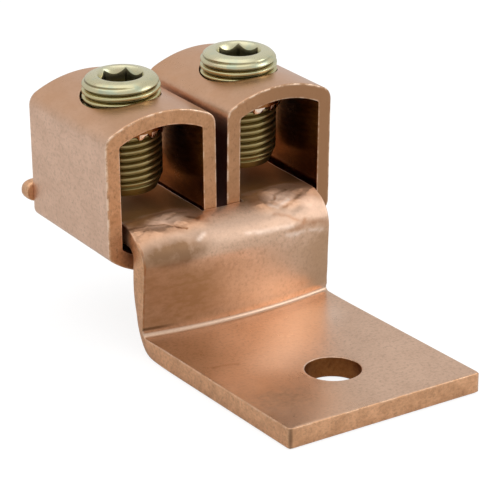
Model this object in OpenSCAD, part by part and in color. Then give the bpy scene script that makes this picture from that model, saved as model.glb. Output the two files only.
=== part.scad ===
// Copper mechanical lug for two cables. A forked, Z-bent strap has one bolt hole in its tang.
// Two closed collars sit on its fingers, and a set screw in each clamps a cable on the finger.
// Frame: +Z up, +X across the width, the tang points to -Y.
// The origin is on the bolt-hole axis, in the plane of the tang's underside.

/* [Strap] */
// Width of the strap, mm
strap_w = 44.4; // [43:0.1:48]
// Thickness of the strap, mm
strap_t = 4.1; // [3.6:0.05:4.6]
// Height of the fingers' top face above the tang's underside, at the collars' front, mm
shelf_z = 25.75; // [24:0.05:30]
// Rise of the fingers towards their rear ends, degrees
shelf_tilt = 2.2; // [0:0.1:3]
// Radius of the riser's forward bow in plan, mm
bow_r = 165; // [140:1:300]

/* [Tang] */
// Diameter of the bolt hole, mm
hole_d = 11; // [8:0.1:14]
// Distance from the hole's axis to the tang's front edge, mm
hole_to_front = 17.1; // [12:0.1:24]
// Distance from the hole's axis to the riser's front face at mid-width, mm
hole_to_riser = 31; // [24:0.1:40]
// Radius of the tang's two front corners in plan, mm
tang_corner_r = 0.8; // [0.3:0.1:3]

/* [Bends] */
// Inside radius of the lower bend, mm
lower_inside_r = 0.9; // [0.5:0.1:1.5]
// Outside radius of the lower bend, mm
lower_outside_r = 6.5; // [5.5:0.1:7]
// Inside radius of the upper bend, mm
upper_inside_r = 2; // [1:0.1:2.2]
// Outside radius of the upper bend, mm
upper_outside_r = 7.5; // [6.5:0.1:7.8]

/* [Collars] */
// Wall thickness of a collar, mm
collar_wall = 3.15; // [2.8:0.05:3.4]
// Height of a collar over its arch and belly, mm
collar_h = 33.4; // [32:0.1:36]
// Length of a collar along the finger, mm
collar_l = 30.4; // [27:0.1:34]
// Gap between the two collars, mm
collar_gap = 2.4; // [2:0.1:3]
// Play between a finger's outer side and its collar, mm
outer_play = 1.25; // [1:0.05:1.6]
// Play between a finger's slot side and its collar, mm
inner_play = 0.4; // [0.3:0.05:0.8]
// Distance from the riser's front face at mid-width to the collars' front faces, mm
collar_setback = 7.4; // [7.2:0.1:9]
// Outside radius of the arched top, mm
arch_r = 25; // [22:0.5:40]
// Outside radius of the two corners beside the arch, mm
arch_corner_r = 3; // [2:0.1:3.5]
// Outside radius of the rounded belly, mm
belly_r = 19; // [18:0.1:20]
// Outside radius of the two corners beside the belly, mm
belly_corner_r = 2; // [1:0.1:3]
// Radius of the window's corners, mm
window_corner_r = 0.6; // [0.4:0.1:0.8]
// Lean of the left collar about the finger's length, degrees
left_lean = -2; // [-2:0.1:0]
// Lean of the right collar about the finger's length, degrees
right_lean = -0.8; // [-1.5:0.1:0]
// Drop of the left collar below its tight seat under the finger, mm
left_drop = 0.5; // [0.45:0.05:1]
// Drop of the right collar below its tight seat under the finger, mm
right_drop = 0.05; // [0.05:0.05:1]

/* [Tapped holes] */
// Depth of the drawn rim below the inside of the arch, mm
rim_depth = 3.8; // [2.5:0.1:5]
// Thickness of the drawn rim, mm
rim_wall = 1.2; // [0.8:0.05:1.3]
// Depth of the countersink at the top of the hole, mm
sink_depth = 1.9; // [1:0.1:2.4]
// Widening of the countersink at the arch's crest, mm
sink_grow = 0.7; // [0.3:0.05:1]

/* [Set screws] */
// Major diameter of a set screw, mm
screw_d = 15.875; // [14:0.005:16]
// Radial clearance of a set screw in its hole, mm
thread_clear = 0.05; // [0.03:0.01:0.09]
// Length of a set screw, mm
screw_l = 23.6; // [21:0.1:26]
// Height of the left screw's tip above its finger, mm
left_tip = 2.5; // [1:0.1:5]
// Height of the right screw's tip above its finger, mm
right_tip = 2.95; // [1:0.05:5]
// Diameter of the flat ring round the socket's mouth, mm
crown_d = 10.6; // [10:0.1:12]
// Height of the sloped shoulder at the head end, mm
crown_h = 1.4; // [0.8:0.1:2]
// Diameter of the tip's flat end, mm
tip_d = 13.7; // [10:0.1:13.8]
// Height of the tapered tip, mm
tip_h = 2.4; // [1:0.1:4]
// Size of the hex socket across its flats, mm
hex_af = 7.94; // [6:0.01:8]
// Depth of the hex socket, mm
hex_depth = 9; // [5:0.1:12]
// Diameter of the socket's sloped mouth, mm
mouth_d = 9.4; // [9.3:0.05:9.8]
// Depth of the socket's sloped mouth, mm
mouth_h = 0.85; // [0.4:0.05:1.2]
// Turn of the left screw's socket, degrees
left_turn = 45; // [0:1:60]
// Turn of the right screw's socket, degrees
right_turn = 59; // [0:1:60]

/* [Upset ends] */
// Length of the upset end of each finger, mm
head_l = 3; // [2:0.1:5]
// Height of the upset end, mm
head_t = 5; // [4.8:0.05:6]
// Reach of the upset end beyond the strap's side, mm
head_out = 5.8; // [3:0.1:6.5]
// Reach of the upset end into the slot, mm
head_in = 3; // [1.5:0.1:3.5]

/* [Hidden] */
$fn = 96;
eps = 0.1;
copper = [0.80, 0.52, 0.38];
pale_copper = [0.84, 0.62, 0.50];
zinc = [0.70, 0.65, 0.38];
strap_half = strap_w / 2;
collar_w = strap_half + outer_play + collar_wall - collar_gap / 2;
collar_x = collar_gap / 2 + collar_w / 2;
slot_half = collar_gap / 2 + collar_wall + inner_play;
shelf_y = hole_to_riser + collar_setback;
slot_lead = 0.4;
finger_end = collar_l + head_l;
belly_reach = collar_x - slot_half;
belly_touch = sqrt(pow(belly_r - collar_wall, 2) - pow(belly_reach, 2));
belly_z = belly_touch - strap_t;
crest_z = collar_h - belly_r + belly_z;
bore_r = screw_d / 2 + thread_clear;
tang_reach = hole_to_riser + hole_to_front + strap_half;
plan_l = hole_to_front + shelf_y + finger_end * cos(shelf_tilt);
upper_cz = shelf_z - (upper_outside_r + (collar_setback - upper_outside_r) * sin(shelf_tilt)) / cos(shelf_tilt);
inner_setback = collar_setback - strap_t - upper_inside_r;
inner_cz = shelf_z - (strap_t + upper_inside_r + inner_setback * sin(shelf_tilt)) / cos(shelf_tilt);
tall = shelf_z * 2;

// Places its children in the fingers' frame: the top face is z = 0 and the collars' front is y = 0.
module shelf() {
    translate([0, shelf_y, shelf_z]) rotate([shelf_tilt, 0, 0]) children();
}

// Quarter of a square outside a circle: the waste of a rounded corner or the fill of a fillet.
module corner(size, radius) {
    difference() {
        square(size);
        circle(radius);
    }
}

// As corner(), opened by the fingers' tilt, for the two arcs of the upper bend.
module tilted_corner(size, radius) {
    difference() {
        intersection() {
            square(size);
            rotate(-shelf_tilt) square(size);
        }
        circle(radius);
    }
}

// Side profile of the strap: x runs forward from the riser's front face, y is the height.
module strap_profile() {
    difference() {
        union() {
            translate([-strap_t, 0]) square([strap_t + tang_reach, strap_t]);
            translate([-strap_t, 0]) square([strap_t, shelf_z - strap_t / 2]);
            translate([-collar_setback, shelf_z]) rotate(-shelf_tilt)
                translate([-finger_end * 2, -strap_t]) square([finger_end * 2 + collar_setback, strap_t]);
            translate([lower_inside_r, strap_t + lower_inside_r]) rotate(180)
                corner(lower_inside_r + eps, lower_inside_r);
            translate([-strap_t - upper_inside_r, inner_cz])
                tilted_corner(upper_inside_r + eps, upper_inside_r);
        }
        translate([lower_outside_r - strap_t, lower_outside_r]) rotate(180)
            corner(lower_outside_r + eps, lower_outside_r);
        translate([-upper_outside_r, upper_cz])
            tilted_corner(upper_outside_r * 2, upper_outside_r);
    }
}

// Plan of the strap: straight sides and front edge, two rounded corners and the slot of the fork.
module strap_plan() {
    difference() {
        translate([-strap_half, -hole_to_front]) square([strap_w, plan_l]);
        translate([-slot_half, shelf_y - slot_lead]) square([slot_half * 2, plan_l]);
        for (side = [0, 1]) mirror([side, 0])
            translate([strap_half - tang_corner_r, tang_corner_r - hole_to_front]) rotate(-90)
                corner(tang_corner_r + eps, tang_corner_r);
    }
}

// Upset end of one finger, rounded at both sides, flat against the collar's rear face.
module finger_head() {
    head_from = slot_half - head_in + head_t / 2;
    head_to = strap_half + head_out - head_t / 2;
    shelf() translate([0, finger_end, -strap_t / 2]) rotate([90, 0, 0]) linear_extrude(head_l) {
        translate([head_from, -head_t / 2]) square([head_to - head_from, head_t]);
        translate([head_from, 0]) circle(head_t / 2);
        translate([head_to, 0]) circle(head_t / 2);
    }
}

module strap() {
    color(copper) difference() {
        union() {
            intersection() {
                translate([0, hole_to_riser + bow_r, 0]) rotate_extrude()
                    translate([bow_r, 0]) strap_profile();
                translate([0, 0, -eps]) linear_extrude(tall) strap_plan();
            }
            finger_head();
            mirror([1, 0, 0]) finger_head();
        }
        translate([0, 0, -eps]) cylinder(h = strap_t + eps * 2, d = hole_d);
    }
}

// Closed outline with an arched top and a rounded belly, inset from the collar's outside.
module collar_outline(inset, top_corner, low_corner) {
    half = collar_w / 2 - inset;
    top_r = arch_r - inset;
    low_r = belly_r - inset;
    top_cz = crest_z - arch_r;
    top_drop = sqrt(pow(top_r - top_corner, 2) - pow(half - top_corner, 2));
    low_drop = sqrt(pow(low_r - low_corner, 2) - pow(half - low_corner, 2));
    top_x = top_r * (half - top_corner) / (top_r - top_corner);
    low_x = low_r * (half - low_corner) / (low_r - low_corner);
    translate([-half, belly_z - low_drop]) square([half * 2, top_cz + top_drop - belly_z + low_drop]);
    intersection() {
        translate([0, top_cz]) circle(top_r);
        translate([-top_x, belly_z]) square([top_x * 2, collar_h]);
    }
    intersection() {
        translate([0, belly_z]) circle(low_r);
        translate([-low_x, belly_z - collar_h]) square([low_x * 2, collar_h]);
    }
    for (side = [-1, 1]) {
        translate([side * (half - top_corner), top_cz + top_drop]) circle(top_corner);
        translate([side * (half - low_corner), belly_z - low_drop]) circle(low_corner);
    }
}

// One collar in the fingers' frame, centred on x = 0, with its drawn and tapped screw hole.
module collar_body() {
    ceiling = crest_z - collar_wall;
    difference() {
        union() {
            translate([0, collar_l, 0]) rotate([90, 0, 0]) linear_extrude(collar_l) difference() {
                collar_outline(0, arch_corner_r, belly_corner_r);
                collar_outline(collar_wall, window_corner_r, window_corner_r);
            }
            translate([0, collar_l / 2, ceiling - rim_depth])
                cylinder(h = rim_depth + collar_wall / 3, r = bore_r + rim_wall);
        }
        translate([0, collar_l / 2, ceiling - rim_depth - eps])
            cylinder(h = rim_depth + collar_wall + eps * 2, r = bore_r);
        translate([0, collar_l / 2, crest_z - sink_depth])
            cylinder(h = sink_depth, r1 = bore_r, r2 = bore_r + sink_grow);
    }
}

// One set screw with its tip at z = 0: tapered tip, sloped shoulder and hex socket.
module set_screw(turn) {
    body_h = screw_l - tip_h - crown_h;
    difference() {
        union() {
            cylinder(h = tip_h, d1 = tip_d, d2 = screw_d);
            translate([0, 0, tip_h]) cylinder(h = body_h, d = screw_d);
            translate([0, 0, tip_h + body_h]) cylinder(h = crown_h, d1 = screw_d, d2 = crown_d);
        }
        translate([0, 0, screw_l - hex_depth]) rotate(turn)
            cylinder(h = hex_depth + eps, d = hex_af / cos(30), $fn = 6);
        translate([0, 0, screw_l - mouth_h])
            cylinder(h = mouth_h, d1 = hex_af, d2 = mouth_d);
    }
}

// Places its children on one finger, with the collar's lean and drop.
module on_finger(x, lean, drop) {
    shelf() translate([x, 0, -drop]) rotate([0, lean, 0]) children();
}

module left_collar() {
    color(pale_copper) on_finger(-collar_x, left_lean, left_drop) collar_body();
}

module right_collar() {
    color(pale_copper) on_finger(collar_x, right_lean, right_drop) collar_body();
}

module left_set_screw() {
    color(zinc) on_finger(-collar_x, left_lean, left_drop)
        translate([0, collar_l / 2, left_tip + left_drop]) set_screw(left_turn);
}

module right_set_screw() {
    color(zinc) on_finger(collar_x, right_lean, right_drop)
        translate([0, collar_l / 2, right_tip + right_drop]) set_screw(right_turn);
}

strap();
left_collar();
right_collar();
left_set_screw();
right_set_screw();
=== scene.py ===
"""Looks of a copper mechanical lug for two cables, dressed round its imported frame."""
import logging
import math
from collections.abc import Callable
from dataclasses import dataclass, field
from enum import Enum, IntEnum
from functools import cached_property
from typing import ClassVar, NamedTuple

import bmesh
import bpy
import numpy as np
from mathutils import Matrix, Vector, noise


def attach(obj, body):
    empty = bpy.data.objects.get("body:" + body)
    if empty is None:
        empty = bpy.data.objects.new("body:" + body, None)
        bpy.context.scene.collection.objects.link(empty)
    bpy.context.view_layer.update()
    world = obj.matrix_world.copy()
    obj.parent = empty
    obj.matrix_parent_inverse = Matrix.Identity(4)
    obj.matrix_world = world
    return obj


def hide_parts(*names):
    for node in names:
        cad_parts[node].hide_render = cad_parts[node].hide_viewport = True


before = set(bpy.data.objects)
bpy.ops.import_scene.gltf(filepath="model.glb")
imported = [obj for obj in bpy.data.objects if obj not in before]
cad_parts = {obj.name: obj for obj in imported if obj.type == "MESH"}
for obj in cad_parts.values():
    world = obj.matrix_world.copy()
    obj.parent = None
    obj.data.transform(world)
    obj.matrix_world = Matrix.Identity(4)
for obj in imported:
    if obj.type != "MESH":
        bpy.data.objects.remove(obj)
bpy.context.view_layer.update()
LOG = logging.getLogger("lug")
MM = 0.001
THREAD_PITCH = 1.411

Colour = tuple[float, float, float]
Point = tuple[float, float]
Stroke = tuple[Point, ...]
Strokes = tuple[tuple[Stroke, float, float], ...]
Patch = tuple[Colour, Colour, float]
Patches = tuple[Patch, ...]
Sizes = dict[str, float]
Numbers = np.ndarray | float
Settings = dict[str, object]
Sockets = dict[str | int, object]


class Side(Enum):
    """The two cable positions, seen from the tang."""

    LEFT = -1
    RIGHT = 1

    @property
    def word(self) -> str:
        """The side's word in the names of nodes and bodies."""
        return self.name.lower()


class StrapSlot(IntEnum):
    """Material slots of the strap."""

    SKIN = 0
    EDGE = 1
    HEAD = 2
    BORE = 3


class CollarSlot(IntEnum):
    """Material slots of a collar."""

    SKIN = 0
    CUT = 1
    INSIDE = 2
    TORN = 3


class ScrewSlot(IntEnum):
    """Material slots of a set screw."""

    THREAD = 0
    SOCKET = 1


class Value:
    """A node's output socket, on which Python's operators add Math nodes."""

    def __init__(self, graph: "Graph", socket: bpy.types.NodeSocket) -> None:
        """Keeps the socket and the graph that it belongs to."""
        self.graph = graph
        self.socket = socket

    def math(self, operation: str, *others: "Value | float") -> "Value":
        """Adds one Math node to the value and its second and third operands, where it has them."""
        sockets = dict(enumerate((self, *others)))
        return self.graph.node("ShaderNodeMath", {"operation": operation}, sockets)

    def __add__(self, other: "Value | float") -> "Value":
        """Sum."""
        return self.math("ADD", other)

    __radd__ = __add__

    def __sub__(self, other: "Value | float") -> "Value":
        """Difference."""
        return self.math("SUBTRACT", other)

    def __rsub__(self, other: float) -> "Value":
        """Difference from a number."""
        return (self * -1.0) + other

    def __mul__(self, other: "Value | float") -> "Value":
        """Product."""
        return self.math("MULTIPLY", other)

    __rmul__ = __mul__

    def __truediv__(self, other: "Value | float") -> "Value":
        """Quotient."""
        return self.math("DIVIDE", other)

    def size(self) -> "Value":
        """The value without its sign."""
        return self.math("ABSOLUTE")

    def step(self, low: float, high: float) -> "Value":
        """Rises smoothly from 0 at the low value to 1 at the high one."""
        sockets = {"Value": self, "From Min": low, "From Max": high}
        return self.graph.node("ShaderNodeMapRange", {"interpolation_type": "SMOOTHSTEP"}, sockets)

    def below(self, low: float, high: float) -> "Value":
        """Falls smoothly from 1 at the low value to 0 at the high one."""
        return 1.0 - self.step(low, high)


Layer = tuple[Colour, Value]


class Skin(NamedTuple):
    """What a finish varies over its surface: colour, roughness, relief and share of bare metal."""

    colour: Value
    rough: Value
    height: Value
    metal: "Value | float" = 1.0


class Graph:
    """Writes the nodes of one tree."""

    MIX_SHARE: ClassVar[int] = 0
    MIX_COLOURS: ClassVar[tuple[int, int]] = (6, 7)
    MIX_RESULT: ClassVar[int] = 2

    def __init__(self, tree: bpy.types.NodeTree) -> None:
        """Starts on an empty tree."""
        self.tree = tree
        tree.nodes.clear()

    def node(
        self, kind: str, settings: Settings | None = None, sockets: Sockets | None = None, out: str | int = 0
    ) -> Value:
        """Adds a node of any type.

        Args:
            kind: Blender's node type.
            settings: Properties of the node, set first.
            sockets: Values or links by input name or index.
            out: Name or index of the output to return.

        Returns:
            The chosen output.
        """
        made = self.tree.nodes.new(kind)
        for key, value in (settings or {}).items():
            setattr(made, key, value)
        for key, value in (sockets or {}).items():
            if isinstance(value, Value):
                self.tree.links.new(value.socket, made.inputs[key])
            else:
                made.inputs[key].default_value = value
        return Value(self, made.outputs[out] if len(made.outputs) else None)

    def mix(self, first: "Value | Colour", second: "Value | Colour", share: Value) -> Value:
        """Mixes two colours.

        Args:
            first: The colour where the share is 0.
            second: The colour where the share is 1.
            share: The mask.

        Returns:
            The mixed colour.
        """
        ends = [c if isinstance(c, Value) else (*c, 1.0) for c in (first, second)]
        sockets = {self.MIX_SHARE: share, **dict(zip(self.MIX_COLOURS, ends))}
        return self.node("ShaderNodeMix", {"data_type": "RGBA"}, sockets, self.MIX_RESULT)

    def coats(self, base: Value, layers: list[Layer]) -> Value:
        """Lays colours with their masks over a base, the first one lowest."""
        for ink, share in layers:
            base = self.mix(base, ink, share)
        return base


class MetalGraph(Graph):
    """A material's nodes, with the textures that the metal finishes share; lengths are in millimetres."""

    OCTAVE_SHARE: ClassVar[float] = 0.6
    SPOT_CORE: ClassVar[float] = 0.15
    STROKE_WOBBLE: ClassVar[float] = 1.4

    def __init__(self, material: bpy.types.Material) -> None:
        """Takes over the material's tree and reads the object's coordinates."""
        material.use_nodes = True
        super().__init__(material.node_tree)
        coords = self.node("ShaderNodeTexCoord", out="Object")
        self.place = self.node("ShaderNodeVectorMath", {"operation": "SCALE"}, {0: coords, "Scale": 1 / MM})

    def noise(self, grain_mm: float, detail: float = 3.0, stretch: Colour = (1, 1, 1)) -> Value:
        """Cloudy noise with a mean of about a half; a stretch below 1 draws its patches out along an axis."""
        where = self.node("ShaderNodeMapping", sockets={"Vector": self.place, "Scale": stretch})
        sockets = {"Vector": where, "Scale": 1 / grain_mm, "Detail": detail, "Roughness": self.OCTAVE_SHARE}
        return self.node("ShaderNodeTexNoise", None, sockets)

    def attribute(self, name: str) -> Value:
        """Reads a mesh attribute."""
        return self.node("ShaderNodeAttribute", {"attribute_name": name}, out="Fac")

    def axis(self, index: int) -> Value:
        """Reads one coordinate, in millimetres."""
        return self.node("ShaderNodeSeparateXYZ", None, {0: self.place}, index)

    def spots(self, *patches: Patch) -> Value:
        """Soft patches, each strongest at its centre and 0 outside its radii.

        Args:
            patches: The centre of each, its reach along each axis and its strength.

        Returns:
            The sum of the masks.
        """
        total: Value | float = 0.0
        for centre, radii, strength in patches:
            inverse = tuple(1 / r for r in radii)
            offset = tuple(-c / r for c, r in zip(centre, radii))
            sockets = {"Vector": self.place, "Location": offset, "Scale": inverse}
            unit = self.node("ShaderNodeMapping", None, sockets)
            away = self.node("ShaderNodeVectorMath", {"operation": "LENGTH"}, {0: unit}, "Value")
            total = away.below(self.SPOT_CORE, 1.0) * strength + total
        return total

    @cached_property
    def trace(self) -> tuple[Value, Value]:
        """Ragged coordinates x and y + z, which run on from the tang over the bends to the fingers."""
        along = self.axis(0) + (self.noise(1.8, 3.0) - 0.5) * self.STROKE_WOBBLE
        over = self.axis(1) + self.axis(2) + (self.noise(2.2, 3.0) - 0.5) * self.STROKE_WOBBLE
        return along, over

    def stroke(self, points: Stroke, width: float) -> Value:
        """A ragged line over the strap, 1 along its middle and 0 at its width.

        Args:
            points: Its points as (x, y + z).
            width: Half of its breadth.

        Returns:
            The mask.
        """
        along, over = self.trace
        near = None
        for (ax, ay), (bx, by) in zip(points, points[1:]):
            run, climb = bx - ax, by - ay
            share = ((along - ax) * run + (over - ay) * climb) / (run**2 + climb**2)
            share = share.math("MAXIMUM", 0.0).math("MINIMUM", 1.0)
            aside, above = along - ax - share * run, over - ay - share * climb
            away = (aside * aside + above * above).math("SQRT")
            near = away if near is None else near.math("MINIMUM", away)
        return near.below(0.0, width)

    def close(self, skin: Skin, depth_mm: float) -> None:
        """Ends the tree in a metal shader.

        Args:
            skin: What varies over the surface.
            depth_mm: Depth of the relief.
        """
        relief = {"Height": skin.height, "Distance": depth_mm * MM, "Strength": 1.0}
        bump = self.node("ShaderNodeBump", None, relief)
        sockets = {"Base Color": skin.colour, "Roughness": skin.rough, "Metallic": skin.metal, "Normal": bump}
        shader = self.node("ShaderNodeBsdfPrincipled", None, sockets)
        self.node("ShaderNodeOutputMaterial", None, {"Surface": shader})


@dataclass(frozen=True)
class CopperFinish:
    """Bare copper: its tones, its cloudiness, the lay of its working marks, its edges lightened by wear and
    by a painted highlight, painted shade in its creases and, where set, painted shade that deepens to the
    right.
    """

    name: str
    bright: Colour
    dull: Colour
    # tone of the edges, lighter than bare copper through wear and a painted highlight
    wear_and_sheen: Colour
    rough: float
    blotch_mm: float = 6.0
    lay: Colour = (1.0, 1.0, 1.0)
    lay_mm: float = 0.5
    relief_mm: float = 0.012
    wear: float = 0.8
    # share of painted shade in the creases
    crease_shade: float = 0.5
    fleck: float = 0.0
    # share of painted shade that deepens to the right, where the light is weaker
    fade: float = 0.0
    grit: float = 0.4
    soiled: Patches = ()

    SPECK_MM: ClassVar[float] = 0.28
    GRIT_MM: ClassVar[float] = 0.7
    PIT_MM: ClassVar[float] = 0.75
    RUB_MM: ClassVar[float] = 1.8

    def build(self) -> bpy.types.Material:
        """Makes the material."""
        material = bpy.data.materials.new(self.name)
        graph = MetalGraph(material)
        graph.close(self.surface(graph), self.relief_mm)
        return material

    def darker(self, share: float) -> Colour:
        """The dull tone, darkened to a share of itself."""
        return tuple(share * c for c in self.dull)

    def surface(self, graph: MetalGraph) -> Skin:
        """Lays out the common surface.

        Args:
            graph: The material's nodes.

        Returns:
            What varies over it.
        """
        cloud = graph.noise(self.blotch_mm, 5.0)
        grain = graph.noise(self.lay_mm, 3.0, self.lay)
        speck = graph.noise(self.SPECK_MM, 2.0)
        tone = (cloud * 0.65 + grain * 0.35).step(0.34, 0.68)
        pitted = graph.noise(self.PIT_MM, 4.0, self.lay).step(0.56, 0.70)
        broken = graph.noise(self.RUB_MM, 4.0).step(0.42, 0.60) * 0.9 + 0.1
        # the edges, lightened by wear and by a painted highlight along them
        wear_and_sheen_mask = graph.attribute("edge").step(0.25, 0.75) * broken * self.wear
        layers = [
            (self.darker(0.6), graph.noise(self.GRIT_MM, 6.0).step(0.46, 0.70) * self.grit),
            (self.darker(0.42), pitted * self.fleck),
            # painted shade, deepening towards the right
            (self.darker(0.7), graph.axis(0).step(-14.0, 18.0) * self.fade),
            (self.wear_and_sheen, wear_and_sheen_mask),
            # painted shade in the creases
            (self.darker(0.55), graph.attribute("crease").step(0.3, 0.95) * self.crease_shade),
        ]
        layers += [(self.darker(0.35), graph.spots(patch)) for patch in self.soiled]
        colour = graph.coats(graph.mix(self.dull, self.bright, tone), layers)
        rough = (cloud - 0.5) * 0.22 + (speck - 0.5) * 0.16 + self.rough - wear_and_sheen_mask * 0.16
        height = grain * 0.6 + speck * 0.4 - pitted * self.fleck
        return Skin(colour, rough, height)


@dataclass(frozen=True)
class CollarFinish(CopperFinish):
    """Tumbled collar, warmer on its arch, with painted shade where the two collars face each other."""

    # painted shade for the faces that look into the gap between the collars
    shade: Colour = (0.20, 0.055, 0.03)
    arch: Colour = (0.60, 0.33, 0.185)
    stain_and_shade: Colour = (0.56, 0.36, 0.245)

    def surface(self, graph: MetalGraph) -> Skin:
        """Adds the stains, the arch and the dark gap to the common surface.

        Args:
            graph: The material's nodes.

        Returns:
            What varies over it.
        """
        colour, rough, height, metal = super().surface(graph)
        stained = graph.noise(4.5, 6.0, (1.0, 0.6, 1.0)).step(0.5, 0.72)
        crest = graph.axis(2).step(43.0, 47.0)
        # painted shade in the gap between the two collars
        gap = graph.axis(0).size().below(2.0, 2.6) * graph.axis(2).below(40.0, 45.0)
        colour = graph.coats(colour, [
            (self.stain_and_shade, stained * 0.35),
            (self.arch, crest * (graph.noise(5.0, 5.0) * 0.6 + 0.5)),
            (self.shade, gap * 0.95),
        ])
        return Skin(colour, rough - crest * 0.1, height, metal)


class StrapMasks:
    """Where the strap's marks lie, painted shade and highlights among them, as masks over its surface in the
    object's millimetres.
    """

    # a patch of painted shade on the riser, left of its middle
    RISER_MIDDLE: ClassVar[Patch] = ((-11.0, 31.0, 12.0), (9.0, 6.0, 9.0), 0.3)
    # a patch of painted highlight on the riser, then the path and width of the painted highlight band over
    # the tang
    RISER_GLOW: ClassVar[Patch] = ((8.0, 31.0, 11.5), (9.0, 6.0, 7.0), 0.15)
    TANG_GLOW: ClassVar[Stroke] = ((-7.5, 12.0), (0.0, 17.5), (7.0, 24.5), (12.0, 28.0))
    TANG_GLOW_WIDTH: ClassVar[float] = 9.0
    TANG_WARM: ClassVar[Patch] = ((-17.0, -6.0, 4.0), (19.0, 22.0, 9.0), 1.0)
    TANG_SMUDGE: ClassVar[Patch] = ((-15.0, -6.0, 4.0), (10.5, 8.5, 7.0), 1.0)
    BROW_SHADE: ClassVar[Patches] = (
        ((-15.6, 31.6, 20.8), (12.0, 5.0, 4.4), 1.0),
        ((-22.0, 33.0, 21.5), (4.0, 4.0, 4.0), 0.2),
    )
    # soft spots of painted shade on the brow, just in front of the collars
    BROW_SPOTS: ClassVar[Patches] = (
        ((7.0, 37.0, 25.6), (3.8, 3.0, 2.4), 1.0),
        ((-5.0, 38.0, 25.8), (4.0, 3.0, 2.4), 0.7),
    )
    # patches just inside the collars' fronts that are kept free of the painted shade
    FINGER_LIT_PATCHES: ClassVar[Patches] = (
        ((-11.2, 40.0, 25.7), (7.0, 3.2, 3.0), 1.0),
        ((15.5, 40.2, 25.8), (7.0, 3.0, 3.0), 1.0),
    )
    # facets that take a painted highlight
    LIT_FACETS: ClassVar[Patches] = (
        ((12.8, 36.6, 25.4), (5.5, 3.2, 3.4), 1.0),
        ((-14.0, 37.6, 25.5), (7.0, 2.4, 2.6), 0.8),
        ((18.6, 34.4, 24.0), (3.6, 3.0, 3.0), 0.8),
    )
    GROOVE_RISE: ClassVar[float] = 5.75
    DENT_MM: ClassVar[float] = 3.2
    DENT_WARP_MM: ClassVar[float] = 1.4
    DENT_PUSH_MM: ClassVar[Colour] = (1.6, 1.6, 1.6)

    def __init__(self, graph: MetalGraph) -> None:
        """Writes the masks that colour, roughness and relief share."""
        self.graph = graph
        self.across, self.rear, self.rise = (graph.axis(i) for i in range(3))
        self.edge = graph.attribute("edge")
        self.ragged = graph.noise(2.2, 4.0) - 0.5
        self.fine = graph.noise(0.8, 6.0)
        self.bent = self.rear.step(28.4, 30.0) * self.rise.step(4.8, 6.4)
        self.left = self.across.below(-14.0, 5.0)
        self.brow = self.bent * self.rise.step(19.5, 22.5)
        aside = self.across - 4.5
        self.low = self.bent * (self.rise + self.ragged * 5.0 - aside * aside * 0.0075).below(14.6, 18.2)
        # the fingers inside the collars, which take painted shade
        lit_patches = graph.spots(*self.FINGER_LIT_PATCHES)
        self.covered = (self.rear + self.ragged * 2.5 - lit_patches * 4.0).step(37.2, 40.2)
        between = self.rear.step(33.0, 35.5) * self.rear.below(40.0, 42.0)
        self.crushed = self.across.size().step(4.0, 8.0) * between
        self.pale = graph.spots(*self.LIT_FACETS) * (self.ragged * 1.6 + 0.85)
        self.brown = (graph.spots(self.TANG_SMUDGE) * (self.fine * 1.6 + self.ragged * 3.0)).step(0.05, 1.3)
        # the crease, which takes a painted highlight and more roughness
        crease = graph.attribute("crease").step(0.45, 0.9)
        self.fold = crease * self.rise.below(8.0, 10.0) * self.rear.step(26.0, 28.0)

    def stain_and_shade(self) -> Value:
        """Painted shade on the riser's lower part, a painted reflection of the darker tang and floor:
        streaked to the left, even to the right.
        """
        drawn = self.graph.noise(1.1, 5.0, (0.4, 1.0, 1.0)).step(0.36, 0.72)
        sides = (drawn * 0.35 + 0.55) * self.left + (1.0 - self.left) * 0.27
        return (sides + self.graph.spots(self.RISER_MIDDLE) + self.across.step(12.0, 20.0) * 0.4) * self.low

    def corner(self) -> Value:
        """Painted shade on the tang's left corner at the crease."""
        flat = self.across.below(-19.0, -6.0) * (1.0 - self.bent)
        return flat * self.rear.step(4.0, 20.0) * self.rear.below(33.0, 36.0) * (self.fine * 0.3 + 0.02)

    def glow(self) -> Value:
        """A painted highlight in a band over the tang and, fainter, on the riser above it."""
        tang = self.graph.stroke(self.TANG_GLOW, self.TANG_GLOW_WIDTH) * (1.0 - self.bent)
        return (tang + self.graph.spots(self.RISER_GLOW) * self.bent) * (self.fine * 0.4 + 0.32)

    def band(self) -> Value:
        """The matt band along the brow."""
        return self.rise.step(19.6, 21.6) * self.rise.below(23.6, 25.2) * self.bent

    def shade(self) -> Value:
        """Painted shade below the left end of the brow."""
        return self.graph.spots(*self.BROW_SHADE).step(0.0, 0.95) * (self.ragged * 2.0 + 1.05)

    def nicks(self) -> Value:
        """Nicks in the riser's left edge."""
        upright = self.edge.step(0.2, 0.5) * self.bent * self.rise.below(23.0, 24.2)
        return upright * self.across.below(-21.0, -20.0) * (self.ragged * 3.0 + 0.8)

    def dents(self) -> Value:
        """Relief of uneven dents, like crumpled foil."""
        place = self.graph.place
        sockets = {"Vector": place, "Scale": 1 / self.DENT_WARP_MM, "Detail": 2.0}
        push = self.graph.node("ShaderNodeTexNoise", None, sockets, "Color")
        sockets = {0: push, 1: self.DENT_PUSH_MM, 2: place}
        warped = self.graph.node("ShaderNodeVectorMath", {"operation": "MULTIPLY_ADD"}, sockets)
        sockets = {"Vector": warped, "Scale": 1 / self.DENT_MM, "Smoothness": 0.12}
        return self.graph.node("ShaderNodeTexVoronoi", {"feature": "SMOOTH_F1"}, sockets, "Distance")

    def groove(self) -> Value:
        """Painted shade in a wedge just above the left end of the crease."""
        line = (self.rise - self.GROOVE_RISE).size().below(0.1, 0.5)
        return line * self.across.below(-20.0, -13.0) * self.rear.step(28.6, 29.6)


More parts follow.
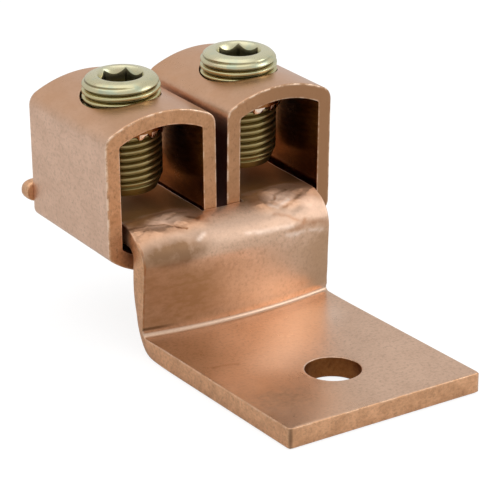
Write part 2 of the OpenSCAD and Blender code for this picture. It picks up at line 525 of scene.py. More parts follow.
@dataclass(frozen=True)
class StrapFinish(CopperFinish):
    """Burnished rolled strap: a crease made bright by a painted highlight, a smudged tang with a band of
    painted highlight, and fingers inside the collars dulled by painted shade.
    """

    smudge: Colour = (0.27, 0.12, 0.04)
    # painted shade on the fingers inside the collars
    dark: Colour = (0.62, 0.36, 0.14)
    # painted shade on the riser's lower part and on the tang's corner at the crease
    ruddy_shade: Colour = (0.40, 0.235, 0.125)
    shaded: Colour = (0.30, 0.17, 0.093)
    groove_shade: Colour = (0.12, 0.07, 0.03)
    # dark brown: painted shade in the folds, the brow's spots and inside the right collar, and the colour of
    # the nicks
    shade_and_nick_brown: Colour = (0.38, 0.175, 0.08)
    # painted highlight on lit facets
    facet_highlight: Colour = (1.0, 0.68, 0.50)
    matt: Colour = (0.55, 0.39, 0.295)
    # painted highlight, also along the fingers' edges and the streaks
    glow: Colour = (0.98, 0.79, 0.66)
    orange: Colour = (0.95, 0.56, 0.33)
    crumpled: Colour = (0.84, 0.47, 0.27)
    dents: float = 13.0

    # fold lines, pressed into the relief and darkened with painted shade
    FOLDS: ClassVar[Strokes] = (
        (
            ((-22.0, 63.6), (-19.3, 63.1), (-17.0, 62.8), (-15.1, 62.0), (-13.2, 60.4), (-11.0, 59.1)),
            0.7, 0.9,
        ),
        (((-13.5, 63.8), (-10.3, 65.1), (-8.0, 64.9)), 1.0, 0.5),
        (((-9.2, 62.9), (-7.5, 61.5), (-6.0, 62.0)), 1.6, 0.8),
        (((9.4, 56.7), (12.2, 55.3), (14.2, 53.5)), 1.3, 0.5),
        (((15.9, 53.5), (15.1, 51.9), (12.1, 51.4)), 1.6, 0.5),
        (((15.6, 52.5), (18.9, 52.3), (21.2, 51.7)), 2.2, 0.5),
        (((12.2, 58.3), (14.3, 59.1), (18.0, 61.8)), 1.1, 0.6),
        (((9.6, 59.9), (12.4, 63.4), (15.8, 64.6)), 1.0, 0.6),
        (((-18.8, 17.4), (-16.8, 17.0), (-14.0, 16.2)), 1.0, 0.5),
    )
    # streaks, raised in the relief and lightened with a painted highlight
    STREAKS: ClassVar[Strokes] = (
        (((1.4, 53.2), (6.0, 52.7), (11.0, 52.5), (12.6, 52.5)), 1.5, 0.35),
        (((11.2, 50.4), (15.4, 50.4)), 1.2, 0.45),
        (((17.0, 50.6), (20.4, 50.2)), 1.0, 0.35),
        (((9.4, 60.0), (10.5, 58.7), (14.2, 60.5)), 1.2, 0.6),
        (((-9.2, 54.9), (-8.2, 55.9)), 1.4, 0.5),
    )

    def surface(self, graph: MetalGraph) -> Skin:
        """Adds the strap's marks, painted shade and highlights among them, to the common surface.

        Args:
            graph: The material's nodes.

        Returns:
            What varies over it.
        """
        colour, rough, height, metal = super().surface(graph)
        on = StrapMasks(graph)
        warm = graph.spots(on.TANG_WARM) * (graph.noise(6.0, 4.0) * 1.2 + 0.2)
        layers = [
            # painted shade on the riser's lower part, then on the tang's corner at the crease
            (self.ruddy_shade, on.stain_and_shade()),
            (self.ruddy_shade, on.corner()),
            # painted highlight band over the tang and the riser
            (self.glow, on.glow()),
            (self.matt, on.band() * 0.6),
            # painted shade below the left end of the brow
            (self.shaded, on.shade()),
            # painted shade in soft spots on the brow
            (self.shade_and_nick_brown, graph.spots(*on.BROW_SPOTS) * (on.ragged * 2.0 + 0.75)),
            # the brow's edges, lightened by wear and a painted highlight
            (self.wear_and_sheen, on.edge.step(0.14, 0.4) * on.brow * 0.3),
            (self.shade_and_nick_brown, on.nicks()),
            # painted shade on the fingers inside the collars, deeper in the right one, and a painted
            # highlight along their edges
            (self.dark, on.covered * 0.85),
            (self.shade_and_nick_brown, on.covered * on.across.step(2.0, 10.0) * 0.5),
            (self.glow, on.edge.step(0.2, 0.5) * on.covered),
            (self.crumpled, on.crushed * 0.6),
            # painted highlight on the facets, which are also less metallic
            (self.facet_highlight, on.pale),
            (self.orange, warm * 0.6),
            (self.smudge, on.brown * 0.5),
            # painted shade above the left end of the crease
            (self.groove_shade, on.groove() * 0.75),
            # painted highlight along the crease
            (self.wear_and_sheen, on.fold * 0.32),
        ]
        pressed: Value | float = 0.0
        # the folds take painted shade and the streaks a painted highlight
        for strokes, ink, sign in ((self.FOLDS, self.shade_and_nick_brown, -1.0), (self.STREAKS, self.glow, 1.0)):
            for points, width, strength in strokes:
                mark = graph.stroke(points, width)
                mark = mark * mark * (on.ragged * 2.6 + 0.95) * strength
                layers.append((ink, mark))
                pressed = mark * sign + pressed
        rough = rough + on.brown * 0.1 + on.brow * 0.17 + on.pale * 0.02 + on.low * 0.06 + on.fold * 0.08
        height = height * 0.6 + on.brow * on.fine * 1.6 + pressed * 0.8 + on.dents() * on.crushed * self.dents
        return Skin(graph.coats(colour, layers), rough, height, metal - on.pale * 0.7)


@dataclass(frozen=True)
class ZincFinish:
    """Yellow passivated zinc: a straw base with faint green and rosy tints, rougher and darkened by painted
    shade below the collar's roof, with painted shade in its thread roots and at its tip and painted light on
    its crown.
    """

    name: str
    straw: Colour = (0.60, 0.555, 0.35)
    green: Colour = (0.44, 0.50, 0.37)
    rosy: Colour = (0.57, 0.45, 0.30)
    # painted shade for the thread's roots and its tip
    thread_shade: Colour = (0.16, 0.12, 0.04)
    olive: Colour = (0.56, 0.49, 0.22)
    # painted shade below the collar's roof
    roof_shade: Colour = (0.25, 0.18, 0.058)
    # painted light on the crown's top
    crown: Colour = (0.76, 0.73, 0.52)
    rough: float = 0.3
    relief_mm: float = 0.008

    def build(self) -> bpy.types.Material:
        """Makes the material."""
        material = bpy.data.materials.new(self.name)
        graph = MetalGraph(material)
        tint = graph.noise(3.5, 3.0)
        speck = graph.noise(0.4, 3.0)
        rise = graph.axis(2)
        # below the collar's roof: painted shade and more roughness
        below_roof = rise.below(41.0, 44.5)
        colour = graph.mix(self.straw, self.green, tint.step(0.5, 0.68) * 0.8)
        colour = graph.coats(colour, [
            (self.rosy, (1.0 - tint).step(0.56, 0.72) * 0.6),
            # painted light on the crown's top, which faces the light above
            (self.crown, rise.step(51.7, 52.7) * 0.5),
            (self.olive, rise.below(49.4, 50.6) * 0.55),
            # painted shade in the thread's roots, up to the crown
            (self.thread_shade, graph.attribute("crease").step(0.02, 0.35) * rise.below(51.2, 52.4) * 0.8),
            # painted shade below the collar's roof
            (self.roof_shade, below_roof * 0.62),
            # painted shade at the tip, where it meets the finger
            (self.thread_shade, rise.below(28.6, 31.5) * 0.7),
        ])
        rough = (speck - 0.5) * 0.2 + (tint - 0.5) * 0.1 + below_roof * 0.08 + self.rough
        graph.close(Skin(colour, rough, speck), self.relief_mm)
        return material


class Finishes:
    """The materials of the object, made once."""

    def __init__(self) -> None:
        """Makes every material."""
        self.tumbled = CollarFinish(
            "tumbled_copper", bright=(0.78, 0.535, 0.395), dull=(0.68, 0.45, 0.32), wear_and_sheen=(0.95, 0.74, 0.58),
            rough=0.42, blotch_mm=7.0, lay=(1.0, 0.25, 1.0), lay_mm=0.6, relief_mm=0.01, fleck=0.12,
        ).build()
        self.sheared = CopperFinish(
            "sheared_copper", bright=(0.65, 0.365, 0.20), dull=(0.51, 0.27, 0.137), wear_and_sheen=(0.96, 0.74, 0.56),
            rough=0.5, blotch_mm=3.0, lay=(1.0, 1.0, 0.6), lay_mm=0.4, relief_mm=0.025, wear=0.65,
            fleck=0.45, fade=1.0,
        ).build()
        self.edge_cut = CopperFinish(
            "blanked_copper", bright=(0.79, 0.455, 0.26), dull=(0.57, 0.31, 0.165), wear_and_sheen=(0.86, 0.63, 0.46),
            rough=0.46, blotch_mm=4.0, lay=(0.6, 0.6, 1.0), lay_mm=0.45, relief_mm=0.025, wear=0.3,
            fleck=0.3, soiled=(((-21.9, -17.1, 2.2), (0.7, 0.8, 5.0), 0.85),),
        ).build()
        # painted shade: a dark copper for the collars' insides
        self.inner = CopperFinish(
            "painted_shade_copper", bright=(0.34, 0.14, 0.045), dull=(0.22, 0.08, 0.025),
            wear_and_sheen=(0.40, 0.20, 0.09), rough=0.22, blotch_mm=5.0, lay=(1.0, 0.2, 1.0), lay_mm=0.5,
            relief_mm=0.015,
        ).build()
        # torn copper of the rim's teeth, lightened past bare copper by a painted highlight
        self.torn = CopperFinish(
            "torn_and_highlit_copper", bright=(1.0, 0.87, 0.74), dull=(0.95, 0.72, 0.54), wear_and_sheen=(1.0, 0.92, 0.82),
            rough=0.34, blotch_mm=1.5, wear=0.8, crease_shade=0.2,
        ).build()
        self.strap = StrapFinish(
            "burnished_copper", bright=(0.74, 0.495, 0.35), dull=(0.62, 0.395, 0.265),
            wear_and_sheen=(0.88, 0.68, 0.53), rough=0.32, blotch_mm=9.0, lay_mm=0.45, relief_mm=0.03, wear=0.25,
            fleck=0.1, grit=0.42,
        ).build()
        # painted shade: a dark copper for the bolt hole's wall
        self.bored = CopperFinish(
            "bore_shade_copper", bright=(0.38, 0.16, 0.05), dull=(0.28, 0.105, 0.03), wear_and_sheen=(0.55, 0.33, 0.19),
            rough=0.45, blotch_mm=2.5, wear=0.35, fleck=0.4,
        ).build()
        self.zinc = ZincFinish("yellow_zinc").build()
        # painted shade: a dark zinc for the hex socket's inside
        socket_shade = (0.26, 0.23, 0.15)
        self.socket = ZincFinish(
            "socket_shade_zinc", straw=socket_shade, green=(0.20, 0.20, 0.13), rosy=(0.24, 0.18, 0.11),
            thread_shade=(0.06, 0.05, 0.03), crown=socket_shade, rough=0.38,
        ).build()


def put(name: str, data: bpy.types.ID) -> bpy.types.Object:
    """Makes an object of a mesh, a light or a camera in the scene."""
    made = bpy.data.objects.new(name, data)
    bpy.context.scene.collection.objects.link(made)
    return made


def shaped(made: bpy.types.Object) -> bpy.types.Mesh:
    """The object's mesh with its modifiers applied."""
    return bpy.data.meshes.new_from_object(made.evaluated_get(bpy.context.evaluated_depsgraph_get()))


class Shell:
    """Patches that merge into one closed mesh; lengths are in millimetres."""

    MERGE_MM: ClassVar[float] = 0.004
    SLIVER_MM: ClassVar[float] = 0.0005

    def __init__(self) -> None:
        """Starts empty."""
        self.points: list[np.ndarray] = []
        self.faces: list[tuple[int, ...]] = []
        self.slots: list[int] = []
        self.count = 0

    def add(self, points: np.ndarray, faces: list[tuple[int, ...]], slot: int) -> None:
        """Adds points with their own faces.

        Args:
            points: The points, one row each.
            faces: Indices into the points.
            slot: Material slot of the faces.
        """
        self.points.append(np.asarray(points, float).reshape(-1, 3))
        self.faces += [tuple(self.count + i for i in f) for f in faces]
        self.slots += [int(slot)] * len(faces)
        self.count += len(self.points[-1])

    def patch(self, grid: np.ndarray, slot: int = 0, closed: bool = False) -> None:
        """Adds a grid of quads.

        Args:
            grid: Points in rows and columns.
            slot: Material slot of the faces.
            closed: Whether the last column joins the first.
        """
        rows, columns = grid.shape[:2]
        faces = []
        for row in range(rows - 1):
            start, above = row * columns, (row + 1) * columns
            for here in range(columns if closed else columns - 1):
                after = (here + 1) % columns
                faces.append((start + here, start + after, above + after, above + here))
        self.add(grid, faces, slot)

    def fan(self, ring: np.ndarray, centre: np.ndarray, slot: int = 0) -> None:
        """Closes a ring with triangles to its centre."""
        n = len(ring)
        self.add(np.vstack([ring, centre]), [(i, (i + 1) % n, n) for i in range(n)], slot)

    def join(self, other: "Shell") -> None:
        """Adds the patches of another shell."""
        self.points += other.points
        self.faces += [tuple(self.count + i for i in f) for f in other.faces]
        self.slots += other.slots
        self.count += other.count

    def move(self, place: Callable[[np.ndarray], np.ndarray]) -> None:
        """Moves every point by a function."""
        self.points = [place(p) for p in self.points]

    def mesh(self, name: str) -> bpy.types.Mesh:
        """Merges the patches.

        Args:
            name: Name of the mesh.

        Returns:
            The closed mesh in metres, its faces outward.
        """
        mesh = bpy.data.meshes.new(name)
        mesh.from_pydata(np.vstack(self.points).tolist(), [], self.faces)
        mesh.polygons.foreach_set("material_index", self.slots)
        work = bmesh.new()
        work.from_mesh(mesh)
        bmesh.ops.remove_doubles(work, verts=work.verts, dist=self.MERGE_MM)
        bmesh.ops.dissolve_degenerate(work, edges=work.edges, dist=self.SLIVER_MM)
        bmesh.ops.recalc_face_normals(work, faces=work.faces)
        bmesh.ops.scale(work, vec=(MM, MM, MM), verts=work.verts)
        for face in work.faces:
            face.smooth = True
        work.to_mesh(mesh)
        work.free()
        return mesh


def lerp_rows(first: np.ndarray, last: np.ndarray, shares: np.ndarray) -> np.ndarray:
    """Rows of points between two rows, one for each share from 0 to 1."""
    return first[None] + (last - first)[None] * np.asarray(shares)[:, None, None]


def ring_rows(centre: Point, rim: np.ndarray, border: np.ndarray, shares: np.ndarray) -> np.ndarray:
    """Rows of points in a plane between a round hole and a border.

    Args:
        centre: Centre of the hole.
        rim: Radius of the hole at each column.
        border: Border points, one for each column.
        shares: Position of each row.

    Returns:
        A grid of x and y.
    """
    away = border - np.array(centre)
    angle = np.arctan2(away[:, 1], away[:, 0])
    round_row = np.array(centre) + rim[:, None] * np.stack([np.cos(angle), np.sin(angle)], 1)
    return lerp_rows(round_row, border, shares)


def pairs(first: Numbers, second: Numbers) -> np.ndarray:
    """Points from two coordinates, of which one may be the same for all."""
    return np.stack(np.broadcast_arrays(first, second), 1)


def border_loop(*sides: tuple[Numbers, Numbers]) -> np.ndarray:
    """A closed border from sides that each end where the next begins."""
    return np.concatenate([pairs(x, y)[:-1] for x, y in sides])


def on_height(flat: np.ndarray, z: Numbers) -> np.ndarray:
    """A grid of x and y, lifted to one height or to a height for each point."""
    return np.concatenate([flat, np.broadcast_to(z, (*flat.shape[:2], 1))], 2)


def stand(line: np.ndarray, y: float) -> np.ndarray:
    """An outline of x and z, stood up at one y."""
    return np.stack([line[:, 0], np.full(len(line), y), line[:, 1]], 1)


def arc_points(centre: Point, radius: float, angles: np.ndarray) -> np.ndarray:
    """Points on a circle in a plane."""
    return pairs(centre[0] + radius * np.cos(angles), centre[1] + radius * np.sin(angles))


def circle_row(turn: np.ndarray, radius: Numbers, z: Numbers) -> np.ndarray:
    """A ring of points round the z axis, at the angles given; each may have its own radius and height."""
    return np.stack([radius * np.cos(turn), radius * np.sin(turn), z + 0 * turn], 1)


def steps(count: int) -> np.ndarray:
    """Even shares from 0 up to, but without, 1."""
    return np.linspace(0, 1, count + 1)[:-1]


def graded(narrow: float, count: int) -> np.ndarray:
    """Shares from 0 to 1, with two close rows before the narrow share and a count of even ones after it."""
    return np.concatenate([np.linspace(0, narrow, 3)[:-1], np.linspace(narrow, 1, count)])


def hump(values: np.ndarray, centre: Numbers, width: float, power: int = 2) -> np.ndarray:
    """A soft hump that is 1 at its centre; a higher power makes its top flatter."""
    return np.exp(-(((values - centre) / width) ** power))


def signed_power(values: np.ndarray, power: float) -> np.ndarray:
    """Raises the size of each value and keeps its sign."""
    return np.sign(values) * np.abs(values) ** power


def noise_at(x: np.ndarray, y: np.ndarray, z: Numbers) -> np.ndarray:
    """Smooth noise at each point of three arrays."""
    x, y, z = np.broadcast_arrays(x, y, z)
    return np.array([noise.noise(Vector(p)) for p in zip(x.ravel(), y.ravel(), z.ravel())]).reshape(x.shape)


def turned(points: np.ndarray, degrees: float, axis: str) -> np.ndarray:
    """Points turned by degrees about the axis of that letter."""
    return points @ np.array(Matrix.Rotation(math.radians(degrees), 3, axis)).T


def read(
    items: bpy.types.bpy_prop_collection, name: str, kind: type = np.int32, width: int = 1
) -> np.ndarray:
    """Reads one property of a mesh's items.

    Args:
        items: Its vertices, edges, faces or loops.
        name: Name of the property.
        kind: Type of its numbers.
        width: How many numbers one item has.

    Returns:
        The numbers, with a row for each item where it has more than one.
    """
    values = np.empty(len(items) * width, kind)
    items.foreach_get(name, values)
    return values.reshape(-1, width) if width > 1 else values


def add_sharpness(mesh: bpy.types.Mesh, sharp_mm: float) -> None:
    """Writes how sharp the mesh is at each vertex to the attributes edge (outward) and crease (inward).

    Args:
        mesh: The finished mesh.
        sharp_mm: Radius of curvature that counts as fully sharp.
    """
    loop_edge, sizes = read(mesh.loops, "edge_index"), read(mesh.polygons, "loop_total")
    normal, centre = (read(mesh.polygons, name, np.float32, 3) for name in ("normal", "center"))
    ends = read(mesh.edges, "vertices", np.int32, 2)
    loop_face = np.repeat(np.arange(len(sizes)), sizes)
    order = np.argsort(loop_edge, kind="stable")
    each = np.arange(len(ends))
    first = np.searchsorted(loop_edge[order], each)
    last = np.searchsorted(loop_edge[order], each, side="right") - 1
    a, b = loop_face[order[first]], loop_face[order[last]]
    turn = np.arccos(np.clip((normal[a] * normal[b]).sum(1), -1, 1))
    gap = centre[b] - centre[a]
    bend = turn / np.maximum(np.linalg.norm(gap, axis=1), 1e-6) * sharp_mm * MM
    outward = (gap * normal[a]).sum(1) < 0
    for name, chosen in (("edge", outward), ("crease", ~outward)):
        sharp = np.zeros(len(mesh.vertices), np.float32)
        np.maximum.at(sharp, ends.ravel(), np.repeat(np.where(chosen, bend, 0.0), 2).astype(np.float32))
        layer = mesh.attributes.new(name, "FLOAT", "POINT")
        layer.data.foreach_set("value", np.clip(sharp, 0, 1))


@dataclass
class Piece:
    """One finished mesh of the object and where it belongs in the frame."""

    name: str
    body: str
    slot: str
    replaces: str
    bevel_mm: float = 0.0
    sharp_mm: float = 0.7
    sharper: dict[int, float] = field(default_factory=dict)

    def finish(self, shell: Shell, materials: list[bpy.types.Material]) -> bpy.types.Object:
        """Makes the object, rounds its edges and joins it to the frame.

        Args:
            shell: The patches, in the object's frame.
            materials: The finishes by slot.

        Returns:
            The finished object.
        """
        mesh = shell.mesh(self.name)
        for material in materials:
            mesh.materials.append(material)
        made = put(self.name, mesh)
        if self.bevel_mm:
            self._round_edges(made)
        add_sharpness(made.data, self.sharp_mm)
        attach(made, self.body)
        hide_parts(self.replaces)
        LOG.info("%s: %d faces on %s", self.name, len(made.data.polygons), self.body)
        return made

    def _round_edges(self, made: bpy.types.Object) -> None:
        """Bevels the edges where two finishes meet and keeps the faces' own normals."""
        work = bmesh.new()
        work.from_mesh(made.data)
        weight = work.edges.layers.float.new("bevel_weight_edge")
        for edge in work.edges:
            slots = {face.material_index for face in edge.link_faces}
            edge[weight] = min(self.sharper.get(i, 1.0) for i in slots) if len(slots) > 1 else 0.0
        work.to_mesh(made.data)
        work.free()
        bevel = made.modifiers.new("round", "BEVEL")
        bevel.width = self.bevel_mm * MM
        bevel.segments = 3
        bevel.limit_method = "WEIGHT"
        bevel.use_clamp_overlap = False
        weighted = made.modifiers.new("weigh", "WEIGHTED_NORMAL")
        weighted.keep_sharp = False
        rounded = shaped(made)
        made.modifiers.clear()
        made.data = rounded


class ThreadTree:
    """Geometry Nodes tree of a helical thread, on a shank or in a bore; lengths are in millimetres."""

    SIZES: ClassVar[tuple[str, ...]] = (
        "Pitch", "Radius", "Depth", "Length", "Low Radius", "Low Slope",
        "High Radius", "High Reach", "High Height", "Blend",
    )
    FLANK_SHARE: ClassVar[float] = 0.74
    ROW_NUDGE: ClassVar[float] = 0.0001
    MERGE_MM: ClassVar[float] = 0.003

    def __init__(self) -> None:
        """Builds the tree."""
        self.tree = bpy.data.node_groups.new("helical_thread", "GeometryNodeTree")
        face = self.tree.interface
        face.new_socket("Geometry", in_out="OUTPUT", socket_type="NodeSocketGeometry")
        made = [face.new_socket(n, in_out="INPUT", socket_type="NodeSocketFloat") for n in self.SIZES]
        made += [face.new_socket(n, in_out="INPUT", socket_type="NodeSocketInt") for n in ("Columns", "Rows")]
        made.append(face.new_socket("Finish", in_out="INPUT", socket_type="NodeSocketMaterial"))
        self.keys = {s.name: s.identifier for s in made}
        self._write(Graph(self.tree))

    def _write(self, graph: Graph) -> None:
        """Writes the nodes: a grid whose rows follow the helix, bent round the axis."""
        group = graph.node("NodeGroupInput").socket.node
        read = {n: Value(graph, group.outputs[n]) for n in self.keys}
        counts = {"Vertices X": read["Columns"] + 1.0, "Vertices Y": read["Rows"]}
        flat = graph.node("GeometryNodeMeshGrid", None, {"Size X": 1.0, "Size Y": 1.0, **counts})
        where = graph.node("GeometryNodeInputPosition")
        kind = "ShaderNodeSeparateXYZ"
        round_share, long_share = (graph.node(kind, None, {0: where}, i) + 0.5 for i in (0, 1))
        turns = (read["Length"] / read["Pitch"]).math("CEIL") + 1.0
        wound = long_share * turns
        height = read["Pitch"] * (wound - 1.0 + round_share)
        height = height.math("MAXIMUM", 0.0).math("MINIMUM", read["Length"])
        saw = (wound + self.ROW_NUDGE).math("FRACT") * 2.0 - 1.0
        radius = read["Radius"] - read["Depth"] * saw.size().below(0.0, self.FLANK_SHARE)
        low = read["Low Radius"] + height * read["Low Slope"]
        near_top = (1.0 - (read["Length"] - height) / read["High Height"]).math("MAXIMUM", 0.0)
        high = read["High Radius"] + read["High Reach"] * (1.0 - near_top * near_top).math("SQRT")
        radius = radius.math("SMOOTH_MIN", low, read["Blend"]).math("SMOOTH_MIN", high, read["Blend"])
        angle = round_share * math.tau
        spot = {0: angle.math("COSINE") * radius, 1: angle.math("SINE") * radius, 2: height}
        bent = graph.node("ShaderNodeCombineXYZ", None, spot)
        moved = graph.node("GeometryNodeSetPosition", None, {"Geometry": flat, "Position": bent})
        near = {"Geometry": moved, "Distance": self.MERGE_MM}
        merged = graph.node("GeometryNodeMergeByDistance", None, near)
        real = graph.node("GeometryNodeRealizeInstances", None, {0: merged})
        dressed = graph.node("GeometryNodeSetMaterial", None, {"Geometry": real, "Material": read["Finish"]})
        graph.node("NodeGroupOutput", None, {0: dressed})

    def add_to(self, shell: Shell, slot: int, lift: float, finish: bpy.types.Material, sizes: Sizes) -> None:
        """Adds one thread to a shell.

        Args:
            shell: The shell.
            slot: Material slot of the thread's faces.
            lift: Height of the thread's low end.
            finish: Material that the tree sets.
            sizes: The tree's sizes by name, with Columns and Steps, the rows in one turn.
        """
        turns = math.ceil(round(sizes["Length"] / sizes["Pitch"], 6)) + 1
        values = {n: float(sizes[n]) for n in self.SIZES}
        values |= {"Columns": int(sizes["Columns"]), "Rows": int(sizes["Steps"]) * turns + 1}
        values["Finish"] = finish
        made = put("thread", bpy.data.meshes.new("thread"))
        nodes = made.modifiers.new("thread", "NODES")
        nodes.node_group = self.tree
        for name, value in values.items():
            nodes[self.keys[name]] = value
        wound = shaped(made)
        made.modifiers.remove(nodes)
        points = read(wound.vertices, "co", np.float32, 3) + np.array([0, 0, lift])
        shell.add(points, [tuple(p.vertices) for p in wound.polygons], slot)
        bpy.data.objects.remove(made)
        bpy.data.meshes.remove(wound)


@dataclass(frozen=True)
class Shelf:
    """The fingers' frame: the top face is z = 0 and the collars' front is y = 0."""

    y: float = 38.4
    z: float = 25.75
    tilt_deg: float = 2.2

    @property
    def tilt(self) -> float:
        """The tilt in radians."""
        return math.radians(self.tilt_deg)

    def height(self, y: Numbers, depth: float) -> Numbers:
        """Height in the object's frame at y and at a depth below the top face."""
        return self.z + (y - self.y) * math.tan(self.tilt) - depth / math.cos(self.tilt)

    def to_world(self, points: np.ndarray) -> np.ndarray:
        """Takes points of the fingers' frame to the object's frame."""
        return turned(points, self.tilt_deg, "X") + np.array([0, self.y, self.z])


@dataclass(frozen=True)
class Seat:
    """Where one collar and its screw sit on a finger."""

    x: float
    lean_deg: float
    drop: float
    shelf: Shelf = Shelf()

    def to_world(self, points: np.ndarray) -> np.ndarray:
        """Takes points of the collar's frame to the object's frame."""
        return self.shelf.to_world(turned(points, self.lean_deg, "Y") + np.array([self.x, 0, -self.drop]))


SEATS = {Side.LEFT: Seat(-13.9, -2.0, 0.5), Side.RIGHT: Seat(13.9, -0.8, 0.05)}


@dataclass(frozen=True)
class FingerHead:
    """The hammered upset end of one finger, in the fingers' frame."""

    side: Side
    inner: float = 1.75
    outer: float = 28.0
    tall: float = 5.0
    start: float = 30.4
    middle_z: float = -2.05
    square_x: float = 0.35
    square_z: float = 0.75
    dent: float = 0.22
    columns: int = 72

    ROWS: ClassVar[tuple[Point, ...]] = (
        (0.0, 0.86), (0.0, 0.95), (0.25, 1.0), (1.2, 1.0), (2.0, 0.985), (2.6, 0.94), (2.9, 0.86), (3.0, 0.7),
    )
    FLAT_ROWS: ClassVar[int] = 2

    def grid(self) -> np.ndarray:
        """Rows of points from its front face, which stays flat, to its rear face."""
        centre_x, reach_x = (self.inner + self.outer) / 2, (self.outer - self.inner) / 2
        turn = np.linspace(0, math.tau, self.columns, endpoint=False)
        y, grow = np.array(self.ROWS).T[..., None]
        inset = (1 - grow) * self.tall / 2
        x = centre_x + signed_power(np.cos(turn), self.square_x) * (reach_x - inset)
        z = signed_power(np.sin(turn), self.square_z) * self.tall / 2 * grow + self.middle_z
        grid = np.stack(np.broadcast_arrays(self.side.value * x, self.start + y, z), -1)
        x, y, z = np.moveaxis(grid, -1, 0)
        dents = noise_at(x * 0.35, y * 0.5, z * 0.4 + self.side.value * 9)
        grid[self.FLAT_ROWS :, :, 2] += self.dent * dents[self.FLAT_ROWS :]
        return grid


